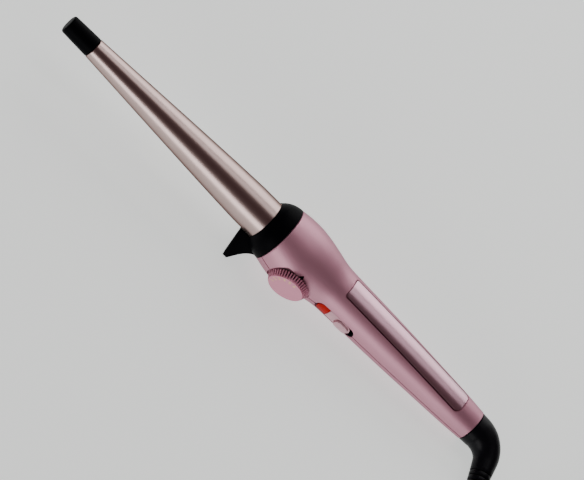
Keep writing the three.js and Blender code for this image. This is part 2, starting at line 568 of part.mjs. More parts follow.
// ---- two-pin plug, lying flat with its pins towards the wand ------------------------------------
{
  const { face, y, height, width } = PLUG;
  const outline = new THREE.Shape();
  outline.moveTo(face, y - width / 2);
  outline.lineTo(face + 9, y - width / 2);
  outline.quadraticCurveTo(face + 20, y - width / 2 + 1.5, face + 24, y - 8.4);
  outline.lineTo(face + 34, y - 7.4);
  outline.lineTo(face + PLUG.length, y - 4.2);
  outline.lineTo(face + PLUG.length, y + 4.2);
  outline.lineTo(face + 34, y + 7.4);
  outline.lineTo(face + 24, y + 8.4);
  outline.quadraticCurveTo(face + 20, y + width / 2 - 1.5, face + 9, y + width / 2);
  outline.lineTo(face, y + width / 2);
  const edge = 1;
  const options = { depth: height - 2 * edge, bevelThickness: edge, bevelSize: edge, bevelOffset: -edge,
    bevelSegments: 1, curveSegments: 5 };
  const body = new THREE.ExtrudeGeometry(outline, options).translate(0, 0, edge);
  part('plug_body', solidOf(body), BLACK_RUBBER, assembly);
  for (const [name, side] of [['plug_pin_left', -1], ['plug_pin_right', 1]]) {
    const { pinRadius, pinLength, pinSpacing } = PLUG;
    const pin = new THREE.CylinderGeometry(pinRadius, pinRadius, pinLength, 14).rotateZ(Math.PI / 2);
    const place = pin.translate(face - GAP - pinLength / 2, y + (side * pinSpacing) / 2, height / 2);
    part(name, place, STEEL, assembly);
  }
}

export default assembly;
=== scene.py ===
# A conical curling wand lying on its casing and its stand fin, with its cord folded and tied behind it.
# The frame's unit is the metre, and mm turns a maker's millimetres into it.
import bpy
import json
import math
from mathutils import Matrix, Vector


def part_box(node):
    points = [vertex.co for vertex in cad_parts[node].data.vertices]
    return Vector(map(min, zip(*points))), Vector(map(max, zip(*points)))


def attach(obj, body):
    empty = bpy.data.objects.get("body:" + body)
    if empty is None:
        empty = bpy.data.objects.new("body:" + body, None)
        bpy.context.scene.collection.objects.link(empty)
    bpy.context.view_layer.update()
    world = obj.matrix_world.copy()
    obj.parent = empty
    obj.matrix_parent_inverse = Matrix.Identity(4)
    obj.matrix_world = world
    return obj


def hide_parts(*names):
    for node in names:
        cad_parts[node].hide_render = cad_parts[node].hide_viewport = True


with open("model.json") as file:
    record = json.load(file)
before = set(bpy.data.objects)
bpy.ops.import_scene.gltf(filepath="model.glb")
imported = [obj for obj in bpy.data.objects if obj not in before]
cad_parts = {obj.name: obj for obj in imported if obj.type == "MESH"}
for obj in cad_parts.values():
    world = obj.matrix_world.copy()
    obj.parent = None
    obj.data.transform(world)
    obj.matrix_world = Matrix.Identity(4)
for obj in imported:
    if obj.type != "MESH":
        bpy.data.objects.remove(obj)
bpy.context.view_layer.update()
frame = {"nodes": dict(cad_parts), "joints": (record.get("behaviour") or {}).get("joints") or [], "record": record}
mm = 0.001

# ---- Camera -------------------------------------------------------------------------------------------
# The wand is seen from above its dial side, with its middle line running from corner to corner, tip at the
# top. A long lens from a good distance keeps the taper of the barrel true.
joints = {joint["name"]: joint for joint in frame["joints"]}
mounts = {mount["name"]: mount for mount in frame["record"]["mounts"]}
wand_axis = Vector(joints["cord_swivel"]["axis"]).normalized()
wand_tip = Vector(mounts["tip_end"]["pos_m"])
wand_side = Vector((0, 1, 0))
wand_up = wand_axis.cross(wand_side)
on_wand = Matrix((wand_axis, wand_side, wand_up)).transposed().to_4x4()
on_wand.translation = wand_tip

view_middle = 177
view_aside = 2.6
camera_distance = 4
to_camera = (on_wand.to_3x3() @ Vector((-0.208, -0.489, 0.847))).normalized()
along_view = (wand_axis - wand_axis.dot(to_camera) * to_camera).normalized()
across_view = along_view.cross(to_camera)
view_right = (along_view - across_view).normalized()
view_up = -(along_view + across_view).normalized()
looked_at = on_wand @ Vector((view_middle * mm, 0, 0)) - view_aside * mm * across_view
camera_data = bpy.data.cameras.new("camera")
camera_data.lens = 439.5
camera_data.sensor_width = 36
camera_data.clip_start = 0.1
camera_data.clip_end = 20
camera = bpy.data.objects.new("camera", camera_data)
camera.matrix_world = Matrix((view_right, view_up, to_camera)).transposed().to_4x4()
camera.location = looked_at + camera_distance * to_camera
bpy.context.scene.collection.objects.link(camera)
bpy.context.scene.camera = camera

# ---- Floor, light and the room round them --------------------------------------------------------------
# A pale matt floor that gives back a little light of its own, three long soft boxes (behind the wand, above
# it and on the dial's side) and a dim rosy room, so that the metal shows bright sides and a dark middle.
bpy.ops.object.select_all(action="DESELECT")
bpy.ops.mesh.primitive_plane_add(size=8, location=(0, 0, -0.2 * mm))
floor = bpy.context.object
floor.name = "floor"
floor_paint = bpy.data.materials.new("pale_floor")
floor_paint.use_nodes = True
floor_shader = floor_paint.node_tree.nodes["Principled BSDF"]
floor_shader.inputs["Base Color"].default_value = (0.60, 0.62, 0.61, 1)
floor_shader.inputs["Roughness"].default_value = 0.9
floor_shader.inputs["Specular IOR Level"].default_value = 0.1
floor_shader.inputs["Emission Color"].default_value = (0.93, 0.96, 0.94, 1)
floor_shader.inputs["Emission Strength"].default_value = 0.85
floor.data.materials.append(floor_paint)

room = bpy.data.worlds.new("room")
room.use_nodes = True
room.node_tree.nodes["Background"].inputs["Color"].default_value = (1.0, 0.56, 0.60, 1)
room.node_tree.nodes["Background"].inputs["Strength"].default_value = 0.07
bpy.context.scene.world = room


def soft_box(name, turn, width, power, distance=1.5, length=1.5):
    """A long lamp beside the wand; turn is its angle from straight above, towards the dial's side."""
    lamp = bpy.data.lights.new(name, "AREA")
    lamp.shape = "RECTANGLE"
    lamp.size = length
    lamp.size_y = width
    lamp.energy = power
    box = bpy.data.objects.new(name, lamp)
    angle = math.radians(turn)
    out = Vector((0, -math.sin(angle), math.cos(angle)))
    rise = Vector((1, 0, 0))
    box.matrix_world = Matrix((rise, out.cross(rise), out)).transposed().to_4x4()
    box.location = distance * out
    bpy.context.scene.collection.objects.link(box)


soft_box("soft_box_back", turn=-66, width=1.3, power=17)
soft_box("soft_box_above", turn=-24, width=0.64, power=4.2)
soft_box("soft_box_front", turn=80, width=0.78, power=13.2)


# ---- Cool tip -----------------------------------------------------------------------------------------
# The cap that fingers may hold: black heat-proof plastic, moulded in one piece with a spigot that is
# pressed into the front of the barrel.
def pick(piece):
    """Selects one piece alone."""
    bpy.ops.object.select_all(action="DESELECT")
    bpy.context.view_layer.objects.active = piece
    piece.select_set(True)


def edit(piece, select="DESELECT"):
    """Opens one piece alone for modelling."""
    pick(piece)
    bpy.ops.object.mode_set(mode="EDIT")
    bpy.ops.mesh.select_all(action=select)


def close_up():
    """Merges doubled points, turns the faces outwards and fixes the piece's place in its mesh."""
    bpy.ops.mesh.select_all(action="SELECT")
    bpy.ops.mesh.remove_doubles(threshold=0.002 * mm)
    bpy.ops.mesh.normals_make_consistent(inside=False)
    bpy.ops.object.mode_set(mode="OBJECT")
    bpy.ops.object.transform_apply(location=True, rotation=True, scale=True)


def turned(name, profile, sides=144):
    """A ring drawn out from station to station along the wand. A profile that ends where it began makes a
    tube."""
    station, radius = profile[0]
    start_face = "NOTHING" if profile[0] == profile[-1] else "NGON"
    bpy.ops.object.select_all(action="DESELECT")
    bpy.ops.mesh.primitive_circle_add(vertices=sides, radius=radius * mm, fill_type=start_face,
                                      location=(station * mm, 0, 0), rotation=(0, math.pi / 2, 0))
    piece = bpy.context.object
    piece.name = piece.data.name = name
    edit(piece, "SELECT")
    for next_station, next_radius in profile[1:]:
        bpy.ops.mesh.extrude_region_move(
            TRANSFORM_OT_translate={"value": ((next_station - station) * mm, 0, 0)})
        if next_radius != radius:
            grow = next_radius / radius
            bpy.ops.transform.resize(value=(1, grow, grow), center_override=(next_station * mm, 0, 0))
        station, radius = next_station, next_radius
    close_up()
    return piece


def bezier(corners, steps):
    """Points of a Bezier curve of two or three arms, ends included."""
    order = len(corners) - 1
    points = []
    for step in range(steps + 1):
        share = step / steps
        weights = [math.comb(order, i) * share ** i * (1 - share) ** (order - i) for i in range(order + 1)]
        points.append(tuple(sum(weight * corner[axis] for weight, corner in zip(weights, corners))
                            for axis in (0, 1)))
    return points


def apply_modifier(piece, kind, **settings):
    """Adds a modifier to a piece and applies it at once."""
    modifier = piece.modifiers.new(kind.lower(), kind)
    for key, value in settings.items():
        setattr(modifier, key, value)
    pick(piece)
    bpy.ops.object.modifier_apply(modifier=modifier.name)


def lay_in_place(piece, place, sharp=32):
    """Moves a piece modelled at the origin to its place, into its mesh, and smooths its shading."""
    pick(piece)
    piece.matrix_world = place
    bpy.ops.object.transform_apply(location=True, rotation=True, scale=True)
    bpy.ops.object.shade_smooth_by_angle(angle=math.radians(sharp))


def finish(name, light, dark, roughness, uneven=0.04, grain=0.1, grain_size=0.4, patch_size=14, metallic=0.0,
           stretch=(1, 1, 1), **sockets):
    """A surface whose colour drifts between two tones, with a fine grain in its height and its gloss."""
    material = bpy.data.materials.new(name)
    material.use_nodes = True
    nodes, links = material.node_tree.nodes, material.node_tree.links
    shader = nodes["Principled BSDF"]
    shader.inputs["Metallic"].default_value = metallic
    for socket, value in sockets.items():
        shader.inputs[socket.replace("_", " ")].default_value = value
    place = nodes.new("ShaderNodeTexCoord")
    mapping = nodes.new("ShaderNodeMapping")
    mapping.inputs["Rotation"].default_value = on_wand.inverted().to_euler()
    mapping.inputs["Scale"].default_value = stretch
    links.new(place.outputs["Object"], mapping.inputs["Vector"])
    patches = nodes.new("ShaderNodeTexNoise")
    patches.inputs["Scale"].default_value = 1 / (patch_size * mm)
    patches.inputs["Detail"].default_value = 4
    links.new(mapping.outputs["Vector"], patches.inputs["Vector"])
    tones = nodes.new("ShaderNodeMix")
    tones.data_type = "RGBA"
    tones.inputs["A"].default_value = (*dark, 1)
    tones.inputs["B"].default_value = (*light, 1)
    links.new(patches.outputs["Fac"], tones.inputs["Factor"])
    links.new(tones.outputs["Result"], shader.inputs["Base Color"])
    grains = nodes.new("ShaderNodeTexNoise")
    grains.inputs["Scale"].default_value = 1 / (grain_size * mm)
    grains.inputs["Detail"].default_value = 3
    links.new(mapping.outputs["Vector"], grains.inputs["Vector"])
    gloss = nodes.new("ShaderNodeMapRange")
    gloss.inputs["To Min"].default_value = roughness - uneven
    gloss.inputs["To Max"].default_value = roughness + uneven
    links.new(grains.outputs["Fac"], gloss.inputs["Value"])
    links.new(gloss.outputs["Result"], shader.inputs["Roughness"])
    bump = nodes.new("ShaderNodeBump")
    bump.inputs["Strength"].default_value = grain
    bump.inputs["Distance"].default_value = 0.1 * mm
    links.new(grains.outputs["Fac"], bump.inputs["Height"])
    links.new(bump.outputs["Normal"], shader.inputs["Normal"])
    return material


def round_edges(piece, width, segments=2, angle=50):
    """Rounds every edge that turns more than an angle."""
    apply_modifier(piece, "BEVEL", width=width * mm, segments=segments, limit_method="ANGLE",
                   angle_limit=math.radians(angle))


def settle(piece, material, body, slot, *nodes):
    """Gives a finished piece its material and its body, and hides the plain solids that it stands for. The slot is
    not used.
    """
    piece.data.materials.clear()
    piece.data.materials.append(material)
    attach(piece, body)
    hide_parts(*nodes)


tip_radius = 5.9
tip_round = 1.4
tip_end = 19.5
tip_foot_radius = 6.36
spigot_radius = 5.2
spigot_end = tip_end + 8
pole = 0.4
tip_profile = [(0, pole), (0, tip_radius - tip_round)]
for degrees in range(15, 91, 15):
    corner = math.radians(degrees)
    tip_profile.append((tip_round * (1 - math.cos(corner)), tip_radius - tip_round * (1 - math.sin(corner))))
tip_profile += [(6, 6.05), (12, 6.2), (tip_end - 0.4, tip_foot_radius), (tip_end, 6.1),
                (tip_end, spigot_radius), (spigot_end, spigot_radius), (spigot_end, pole)]
tip = turned("tip", tip_profile)
lay_in_place(tip, on_wand)
black_plastic = finish("black_heatproof_plastic", (0.0022, 0.0022, 0.0032), (0.0012, 0.0012, 0.002), 0.42,
                       grain=0.12, grain_size=0.35, Specular_IOR_Level=0.02)
settle(tip, black_plastic, "wand", "black_plastic", "cool_tip")

# ---- Barrel -------------------------------------------------------------------------------------------
# A tapered aluminium tube, 13 mm at the tip and 25 mm at its foot, polished round and coated in a
# champagne rose ceramic lacquer. It slides over the tip's spigot and into the collar.
barrel_wall = 0.9
barrel_radius = 12.6
cone_end = 145
barrel_end = (176, barrel_radius)
barrel_outer = bezier([(tip_end + 0.6, 6.42), (90, 10.15), (123, 11.95), (cone_end, barrel_radius)], 40)
barrel_outer += [(160, barrel_radius), barrel_end]
barrel_inner = [(x, radius - barrel_wall) for x, radius in reversed(barrel_outer[::4] + [barrel_end])]
barrel_front = (tip_end + 0.3, 6.2)
barrel_profile = [barrel_front, *barrel_outer, *barrel_inner, (tip_end + 0.3, 5.5), barrel_front]
barrel_shell = turned("barrel_tube", barrel_profile)
lay_in_place(barrel_shell, on_wand)
coating = finish("champagne_rose_coating", (0.51, 0.385, 0.365), (0.46, 0.34, 0.32), 0.29, uneven=0.03,
                 grain=0.05, grain_size=0.12, patch_size=30, metallic=1.0, stretch=(3.0, 0.12, 0.12),
                 Specular_Tint=(0.0, 0.0, 0.0, 1))
settle(barrel_shell, coating, "wand", "barrel_coating", "barrel")

# ---- Collar and stand fin -----------------------------------------------------------------------------
# One black heat-proof moulding round the foot of the barrel. Its fin keeps the hot barrel off the table
# when the wand is laid down, and its foot is level with the table.
def cut(piece, tool, operation="DIFFERENCE"):
    """Cuts, joins or keeps with another solid, which is used up."""
    apply_modifier(piece, "BOOLEAN", operation=operation, solver="EXACT", object=tool)
    bpy.data.objects.remove(tool)


collar_front, collar_end, collar_radius = 158.1, 169.4, 18.6
collar_bore = barrel_radius + 0.3
seat_front, seat_bore = 163.6, 15.3
lip_end, lip_radius = 171.8, 16.5
shoulder = bezier([(collar_front, 13.1), (162.5, 18.2), (collar_end, collar_radius)], 14)
collar_profile = [(collar_front, collar_bore), *shoulder, (collar_end, lip_radius), (lip_end, lip_radius),
                  (lip_end, seat_bore), (seat_front, seat_bore), (seat_front, collar_bore),
                  (collar_front, collar_bore)]
collar_ring = turned("collar_and_fin", collar_profile)
fin_reach = 31.2
fin_back = (158.7, fin_reach)
fin_thickness = 3.2
fin_edge = 0.45
fin_outline = [(151.8, 13.0), (155.9, fin_reach)]
fin_outline += bezier([fin_back, (161.2, 27.2), (163.2, 20.8), (169.0, 18.4)], 14)
fin_outline += [(167.8, 16.2), (160, 13.0)]
fin_curve = bpy.data.curves.new("fin", "CURVE")
fin_curve.dimensions = "2D"
fin_curve.fill_mode = "BOTH"
fin_curve.extrude = (fin_thickness / 2 - fin_edge) * mm
fin_curve.bevel_depth = fin_edge * mm
fin_curve.bevel_resolution = 3
fin_curve.offset = -fin_edge * mm
fin_spline = fin_curve.splines.new("POLY")
fin_spline.points.add(len(fin_outline) - 1)
for knot, (x, reach) in zip(fin_spline.points, fin_outline):
    knot.co = (x * mm, reach * mm, 0, 1)
fin_spline.use_cyclic_u = True
fin = bpy.data.objects.new("fin", fin_curve)
bpy.context.scene.collection.objects.link(fin)
fin_lean = 45.7
fin.matrix_world = Matrix.Rotation(math.radians(-90 - fin_lean), 4, "X")
pick(fin)
bpy.ops.object.convert(target="MESH")
edit(fin, "SELECT")
close_up()
cut(fin, turned("bore", [(140, collar_bore), (seat_front, collar_bore), (seat_front, seat_bore),
                         (175, seat_bore)]))
cut(collar_ring, fin, "UNION")
lay_in_place(collar_ring, on_wand)
bpy.ops.mesh.primitive_cube_add(size=200 * mm, location=(0, 0, -100 * mm))
cut(collar_ring, bpy.context.object)
lay_in_place(collar_ring, Matrix(), sharp=35)
settle(collar_ring, black_plastic, "wand", "black_plastic", "collar")

# ---- Casing -------------------------------------------------------------------------------------------
# Two half shells of pearl pink ABS, 2.4 mm thick, that meet along the middle of the dial and the switch.
# They are clipped at the front and screwed together under the inlay panel.
casing_stations = [(169.7, 18.5), (175.7, 19.3), (182.5, 19.55), (188, 19.25), (193.9, 18.45), (198.4, 17.6),
                   (203, 16.65), (207.5, 15.65), (212.3, 14.95), (219, 14.6), (233.6, 14.2), (250.7, 13.75),
                   (267.7, 13.15), (284.8, 12.4), (301.8, 11.65), (314, 11.0), (325.8, 10.1)]
casing_wall = 2.4


def casing_outline(offset, steps=4):
    """The casing's outline, rounded through its stations."""
    last = len(casing_stations) - 1
    rows = []
    for i in range(last):
        before, start = casing_stations[max(i - 1, 0)], casing_stations[i]
        end, after = casing_stations[i + 1], casing_stations[min(i + 2, last)]
        for step in range(steps):
            t = step / steps
            row = [start[k] + 0.5 * t * (end[k] - before[k])
                   + t * t * (3 * (end[k] - start[k]) - (end[k] - before[k]) - 0.5 * (after[k] - start[k]))
                   + t ** 3 * (2 * (start[k] - end[k]) + 0.5 * (end[k] - before[k])
                               + 0.5 * (after[k] - start[k]))
                   for k in (0, 1)]
            rows.append((row[0], row[1] + offset))
    return rows + [(casing_stations[last][0], casing_stations[last][1] + offset)]


swell_height = 1.8
swell_station = 184
swell_length = 10


def casing_body(name, offset, edge=0.0):
    """The casing as a full body, swollen on the dial's side in front of the dial."""
    outline = casing_outline(offset)
    if edge:
        (front, front_radius), (end, end_radius) = outline[0], outline[-1]
        outline = [(front, front_radius - edge), (front + edge, front_radius), *outline[1:-1],
                   (end - edge, end_radius + 0.05), (end, end_radius - edge)]
    piece = turned(name, outline)
    for point in piece.data.vertices:
        x, y, z = point.co / mm
        radius = math.hypot(y, z)
        facing_dial = max(0, -y / radius) ** 2
        swell = swell_height * facing_dial * math.exp(-((x - swell_station) / swell_length) ** 2)
        point.co.y *= 1 + swell / radius
        point.co.z *= 1 + swell / radius
    return piece


def rounded_block(name, front, end, width, low, high, front_round, end_round, to_dial=False):
    """A block with rounded upright edges, standing above the wand's middle line or towards the dial."""
    bpy.ops.object.select_all(action="DESELECT")
    bpy.ops.mesh.primitive_cube_add(size=1, location=((front + end) / 2 * mm, 0, (low + high) / 2 * mm),
                                    scale=((end - front) * mm, width * mm, (high - low) * mm))
    piece = bpy.context.object
    piece.name = piece.data.name = name
    bpy.ops.object.transform_apply(location=True, rotation=True, scale=True)
    for station, rounding in ((front, front_round), (end, end_round)):
        edit(piece)
        bpy.ops.mesh.select_mode(type="EDGE")
        bpy.ops.object.mode_set(mode="OBJECT")
        for edge in piece.data.edges:
            ends = [piece.data.vertices[i].co for i in edge.vertices]
            is_upright = abs(ends[0].z - ends[1].z) > 1 * mm
            edge.select = is_upright and all(abs(point.x - station * mm) < 0.01 * mm for point in ends)
        bpy.ops.object.mode_set(mode="EDIT")
        bpy.ops.mesh.bevel(offset=rounding * mm, segments=10, affect="EDGES")
        bpy.ops.object.mode_set(mode="OBJECT")
    if to_dial:
        lay_in_place(piece, Matrix.Rotation(math.pi / 2, 4, "X"))
    return piece


dial_axis = on_wand.to_3x3().inverted() @ Vector(joints["dial_turn"]["axis"]).normalized()
dial_face = 22.3
dial_foot = on_wand.inverted() @ Vector(joints["dial_turn"]["pos_m"]) - dial_face * mm * dial_axis
dial_ahead = Vector((0, 0, 1)).cross(dial_axis).normalized()
on_dial = Matrix((dial_ahead, dial_axis.cross(dial_ahead), dial_axis)).transposed().to_4x4()
on_dial.translation = dial_foot


def drum(name, radius, low, high, sides=128, high_radius=None):
    """A round block about the dial's own axis, between two distances from the wand's middle line."""
    bpy.ops.object.select_all(action="DESELECT")
    bpy.ops.mesh.primitive_cone_add(vertices=sides, radius1=radius * mm,
                                    radius2=(high_radius or radius) * mm, depth=(high - low) * mm,
                                    location=(0, 0, (low + high) / 2 * mm))
    piece = bpy.context.object
    piece.name = piece.data.name = name
    bpy.ops.object.transform_apply(location=True, rotation=True, scale=True)
    lay_in_place(piece, on_dial)
    return piece


outside = 30
seat_radius = 16.8
casing = casing_body("casing", 0, edge=0.3)
hollow_outline = [row for row in casing_outline(-casing_wall, 1) if row[0] > 178]
hollow_profile = [(164.7, seat_radius), (175.7, seat_radius), *hollow_outline, (330.8, 7.7)]
cut(casing, turned("hollow", hollow_profile, sides=96))
pocket_radius = 13.7
pocket_floor = 16.8
dial_floor = drum("dial_floor", pocket_radius + 0.7, pocket_floor - 1.8, pocket_floor)
cut(dial_floor, casing_body("trim", -0.2), "INTERSECT")
cut(casing, dial_floor, "UNION")
cut(casing, drum("pocket", pocket_radius, pocket_floor, outside))
cut(casing, drum("shaft_hole", 3.5, 10, 20, 48))
slot_front, slot_end, slot_width, slot_round = 210.5, 239.2, 8.6, 4.2
cut(casing, rounded_block("slot", slot_front, slot_end, slot_width, 8, outside, slot_round, slot_round,
                          to_dial=True))
groove_half, groove_sunk = 0.3, 0.5
parting_groove = rounded_block("groove", 150, 350, 60, -groove_half, groove_half, 1, 1)
cut(parting_groove, casing_body("groove_floor", -groove_sunk))
cut(casing, parting_groove)
panel_turn = Matrix.Rotation(math.radians(-5), 4, "X")
panel_front, panel_end, panel_width, panel_rounds = 218.5, 312.3, 13, (1.5, 3)
recess_steps = ((0.55, 1.5), (0.85, 0.3))
for grow, depth in recess_steps:
    recess = rounded_block("recess", panel_front - grow, panel_end + grow, panel_width + 2 * grow, 4,
                           outside, panel_rounds[0] + grow, panel_rounds[1] + grow)
    lay_in_place(recess, panel_turn)
    cut(recess, casing_body("recess_floor", -depth))
    cut(casing, recess)

pearl_pink = finish("pearl_pink_casing", (0.59, 0.29, 0.37), (0.55, 0.26, 0.34), 0.47, uneven=0.05,
                    grain=0.10, grain_size=0.25, patch_size=40, metallic=0.65, Coat_Weight=0.15,
                    Coat_Roughness=0.25, Specular_Tint=(0.15, 0.08, 0.10, 1))
half_gap = 0.15
halves = {"upper": (half_gap, 40), "lower": (-40, -half_gap)}
for half, (low, high) in halves.items():
    shell = casing.copy()
    shell.data = casing.data.copy()
    shell.name = shell.data.name = "casing_" + half
    bpy.context.scene.collection.objects.link(shell)
    cut(shell, rounded_block("keep", 150, 350, 80, low, high, 1, 1), "INTERSECT")
    lay_in_place(shell, on_wand)
    settle(shell, pearl_pink, "wand", "pink_casing", half + "_shell")
bpy.data.objects.remove(casing)

# ---- Inlay panel --------------------------------------------------------------------------------------
# A strip of clear-coated, vacuum-metallised pink plastic, glued into the recess over the casing screws.
panel_thickness, panel_proud = 1.2, 0.02
panel = rounded_block("panel", panel_front, panel_end, panel_width, 4, outside, *panel_rounds)
lay_in_place(panel, panel_turn)
cut(panel, casing_body("panel_face", panel_proud), "INTERSECT")
cut(panel, casing_body("panel_back", -panel_thickness))
lay_in_place(panel, on_wand)
panel_gloss = finish("metallised_panel", (0.62, 0.37, 0.45), (0.58, 0.33, 0.41), 0.30, uneven=0.02,
                     grain=0.03, grain_size=0.3, patch_size=60, metallic=0.95, Coat_Weight=0.3,
                     Coat_Roughness=0.2)
settle(panel, panel_gloss, "wand", "panel_finish", "inlay_panel")

# ---- Temperature dial ---------------------------------------------------------------------------------
# A pink knob with 45 ribs for the fingertip, pushed on the potentiometer's shaft, with its steps printed
# in gold on the face.
rib_count = 45
rib_depth = 1.5
dial_radius, dial_rim_radius = 12.9, 11.4
dial_base, dial_rim = 18.3, 21.7
cap_radius, foot_radius, bore_radius = 10.9, 10.6, 3.2
dial = drum("dial_knob", dial_radius, dial_base, dial_rim, sides=6 * rib_count, high_radius=dial_rim_radius)
into_dial = on_dial.inverted()
for point in dial.data.vertices:
    place = into_dial @ point.co
    share = (math.degrees(math.atan2(place.y, place.x)) % 360) * rib_count / 360 % 1
    if round(share * 6) % 6 >= 3:
        pull = 1 - rib_depth * mm / place.xy.length
        point.co = on_dial @ Vector((place.x * pull, place.y * pull, place.z))
edit(dial, "SELECT")
close_up()
cut(dial, drum("dial_cap", cap_radius, 20, dial_face, sides=6 * rib_count), "UNION")
cut(dial, drum("dial_foot", foot_radius, 17.1, 19), "UNION")
cut(dial, drum("dial_bore", bore_radius, 14, 20.9, 48))
round_edges(dial, 0.16)
lay_in_place(dial, on_wand)
# Painted shadow: the points sunk between the ribs, on the narrow foot and in the bore are marked here, and the
# material turns them near-black magenta to stand for the shade deep in the grooves.
painted_groove_shadow = dial.data.attributes.new("painted_groove_shadow", "FLOAT", "POINT")
into_laid_dial = (on_wand @ on_dial).inverted()
for point, shade in zip(dial.data.vertices, painted_groove_shadow.data):
    place = into_laid_dial @ point.co / mm
    narrowing = (dial_radius - dial_rim_radius) * (place.z - dial_base) / (dial_rim - dial_base)
    shade.value = float(place.z < dial_rim + 0.1 and place.xy.length < dial_radius - narrowing - 0.6)
dial_plastic = finish("dial_pink_plastic", (0.70, 0.27, 0.38), (0.66, 0.24, 0.35), 0.40, grain=0.2,
                      grain_size=0.3, metallic=0.35)
dial_nodes, dial_links = dial_plastic.node_tree.nodes, dial_plastic.node_tree.links
dial_shader = dial_nodes["Principled BSDF"]
in_groove = dial_nodes.new("ShaderNodeAttribute")
in_groove.attribute_name = "painted_groove_shadow"
# Painted shadow: the marked groove points are mixed towards a near-black magenta.
painted_groove_shadow_tone = dial_nodes.new("ShaderNodeMix")
painted_groove_shadow_tone.data_type = "RGBA"
painted_groove_shadow_tone.inputs["B"].default_value = (0.05, 0.004, 0.018, 1)
dial_links.new(in_groove.outputs["Fac"], painted_groove_shadow_tone.inputs["Factor"])
dial_links.new(dial_shader.inputs["Base Color"].links[0].from_socket, painted_groove_shadow_tone.inputs["A"])
dial_links.new(painted_groove_shadow_tone.outputs["Result"], dial_shader.inputs["Base Color"])
settle(dial, dial_plastic, "dial", "dial_pink", "temperature_dial")

gold_print = finish("gold_print", (0.84, 0.60, 0.24), (0.79, 0.55, 0.20), 0.45, metallic=0.1, grain_size=0.2)
numbers_radius = 8.5
number_size = 3.2
first_step_turn = 195
turn_a_step = 23
for place_in_row, step in enumerate("123456"):
    letters = bpy.data.curves.new("dial_number_" + step, "FONT")
    letters.body = step
    letters.size = number_size * mm
    letters.align_x = "CENTER"
    letters.align_y = "CENTER"
    letters.extrude = 0.02 * mm
    letters.offset = 0.08 * mm
    number = bpy.data.objects.new("dial_number_" + step, letters)
    bpy.context.scene.collection.objects.link(number)
    pick(number)
    bpy.ops.object.convert(target="MESH")
    turn = math.radians(first_step_turn - turn_a_step * place_in_row)
    spot = (Matrix.Rotation(turn, 4, "Z")
            @ Matrix.Translation((numbers_radius * mm, 0, (dial_face + 0.01) * mm))
            @ Matrix.Rotation(math.radians(-90), 4, "Z"))
    lay_in_place(number, on_wand @ on_dial @ spot)
    number.data.materials.clear()
    number.data.materials.append(gold_print)
    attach(number, "dial")

# ---- Dial pointer -------------------------------------------------------------------------------------
# A small black triangle, pad printed on the upper shell beside the dial, to read the steps against.
pointer_front, pointer_end, pointer_width, pointer_aside = 191.0, 194.4, 1.7, 15.8
pointer = rounded_block("dial_pointer", pointer_front, pointer_end, pointer_width, 4, outside, 0.05, 0.05)
edit(pointer)
bpy.ops.mesh.select_mode(type="VERT")
bpy.ops.object.mode_set(mode="OBJECT")
for point in pointer.data.vertices:
    point.select = point.co.y > 0
bpy.ops.object.mode_set(mode="EDIT")
pointer_middle = (pointer_front + pointer_end) / 2
bpy.ops.transform.resize(value=(0.1, 1, 1), center_override=(pointer_middle * mm, 0, 0))
bpy.ops.object.mode_set(mode="OBJECT")
lay_in_place(pointer, Matrix.Translation((0, -pointer_aside * mm, 0)))
cut(pointer, casing_body("pointer_face", 0.03), "INTERSECT")
cut(pointer, casing_body("pointer_back", -0.03))
lay_in_place(pointer, on_wand)
settle(pointer, black_plastic, "wand", "black_plastic")

# ---- Red window, slide button and the tray under them ---------------------------------------------------
# The window is clear red acrylic over a small lamp. The button is pale pink plastic with a raised pad for
# the thumb; it slides towards the cord, and the black tray shows in the gap behind it.
button_width = 8
button_front, button_end = 219.6, 236.1
button_base, button_stock = 10.3, 20
pad_height, finger_groove_depth = 1.2, 1.3
window = rounded_block("red_window", slot_front + 1.2, button_front - 0.3, button_width, button_base,
                       button_stock, 3.9, 0.3, to_dial=True)
cut(window, casing_body("window_face", -0.15), "INTERSECT")
round_edges(window, 0.2)
lay_in_place(window, on_wand)
red_acrylic = finish("red_acrylic", (0.50, 0.007, 0.005), (0.34, 0.004, 0.003), 0.36, uneven=0.03,
                     grain=0.02, grain_size=0.5, patch_size=4, Specular_IOR_Level=0.05)
settle(window, red_acrylic, "wand", "red_lens", "indicator_lens")

button = rounded_block("slide_button", button_front, button_end, button_width, button_base, button_stock,
                       0.3, 3.9, to_dial=True)
cut(button, casing_body("button_face", -0.1), "INTERSECT")
finger_groove = rounded_block("finger_groove", 225.2, 228.9, button_width - 0.6, button_base, button_stock,
                              3.1, 0.3, to_dial=True)
cut(finger_groove, casing_body("groove_floor", -finger_groove_depth))
cut(button, finger_groove)
pad = rounded_block("thumb_pad", 226, button_end - 1.2, button_width - 1.4, button_base, button_stock,
                    2.6, 2.6, to_dial=True)
cut(pad, casing_body("pad_face", pad_height), "INTERSECT")
cut(button, pad, "UNION")
round_edges(button, 0.22, segments=3)
cut(button, rounded_block("button_stem", 226, 231, 2.6, 8.7, 10.6, 0.3, 0.3, to_dial=True), "UNION")
lay_in_place(button, on_wand)
button_plastic = finish("button_pink_plastic", (0.66, 0.37, 0.43), (0.62, 0.33, 0.39), 0.38, grain=0.12,
                        grain_size=0.3, metallic=0.2)
settle(button, button_plastic, "switch", "button_pink", "switch_button")

